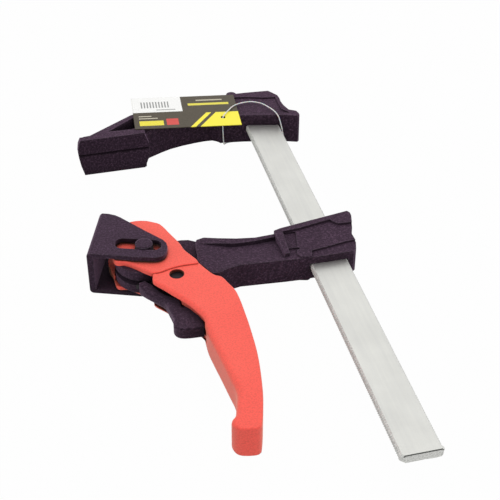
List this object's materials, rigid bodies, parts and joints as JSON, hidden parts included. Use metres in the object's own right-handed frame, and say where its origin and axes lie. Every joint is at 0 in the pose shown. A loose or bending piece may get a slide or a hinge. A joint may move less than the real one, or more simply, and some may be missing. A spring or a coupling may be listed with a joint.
{
  "type": "quick release bar clamp",
  "caption": "Bar clamp with a fixed jaw, a sliding arm on a flat steel bar, a ratcheting cam lever with a trigger, and a swivelling U-shaped pressure shoe.",
  "frame": {"origin": "centre of the fixed jaw's clamping face, on the clamp's mid-plane", "axes": "+Y along the bar from its free end towards the fixed jaw and out of its back, +X from the jaws towards the bar, +Z square to the clamp's plane"},
  "size_m": [0.1605, 0.341, 0.031],
  "materials": {
    "zinc_bar": "bright zinc plate, fine cross serrations on the narrow edges",
    "black_casting": "matt textured powder coat",
    "red_lever": "satin coral red powder coat",
    "black_shoe": "satin black coat on pressed steel",
    "black_trigger": "matt moulded black",
    "dark_steel": "blackened steel",
    "hard_steel": "ground steel",
    "spring_wire": "drawn wire",
    "bush_bronze": "sintered",
    "tag_print": "printed card, dark with a yellow corner",
    "white_label": "matt white label",
    "clear_nylon": "translucent white"
  },
  "bodies": {
    "bar_and_fixed_jaw": {"bar": "zinc_bar", "fixed_jaw": "black_casting", "jaw_pins": "dark_steel", "tag_card": "tag_print", "tag_sticker": "white_label", "tag_string": "clear_nylon"},
    "arm": {"sliding_arm": "black_casting", "grip_pins": "hard_steel", "ratchet_plate": "hard_steel", "ratchet_rivets": "hard_steel", "pivot_bush": "bush_bronze"},
    "lever": {"lever": "red_lever", "pawl_pin": "dark_steel", "spring_pin": "hard_steel", "pawl_spring": "spring_wire"},
    "pin_set": {"pivot_pin": "dark_steel", "pivot_washers": "dark_steel"},
    "shoe": {"shoe": "black_shoe"},
    "trigger": {"trigger": "black_trigger", "pawl_blade": "hard_steel"}
  },
  "joints": [
    {"name": "arm_slide", "type": "slide", "parent": "bar_and_fixed_jaw", "child": "arm", "axis": [0, 1, 0], "range_m": [-0.143, 0.075]},
    {"name": "lever_turn", "type": "hinge", "parent": "arm", "child": "lever", "pos_m": [0, -0.12, 0], "axis": [0, 0, 1], "range_deg": [-54, 0]},
    {"name": "shoe_swivel", "type": "hinge", "parent": "arm", "child": "pin_set", "pos_m": [0, -0.12, 0], "axis": [0, 0, 1], "range_deg": [-71, 0]},
    {"name": "shoe_slot", "type": "slide", "parent": "pin_set", "child": "shoe", "axis": [0.9453, -0.3261, 0], "range_m": [-0.0033, 0]},
    {"name": "trigger_press", "type": "hinge", "parent": "lever", "child": "trigger", "pos_m": [0.0141, -0.1449, 0], "axis": [0, 0, 1], "range_deg": [-3.5, 6], "stiffness_Nm_per_rad": 0.3}
  ],
  "couplings": [
    {"joint": "shoe_slot", "follows": "shoe_swivel", "m_per_rad": 0.0025824}
  ]
}
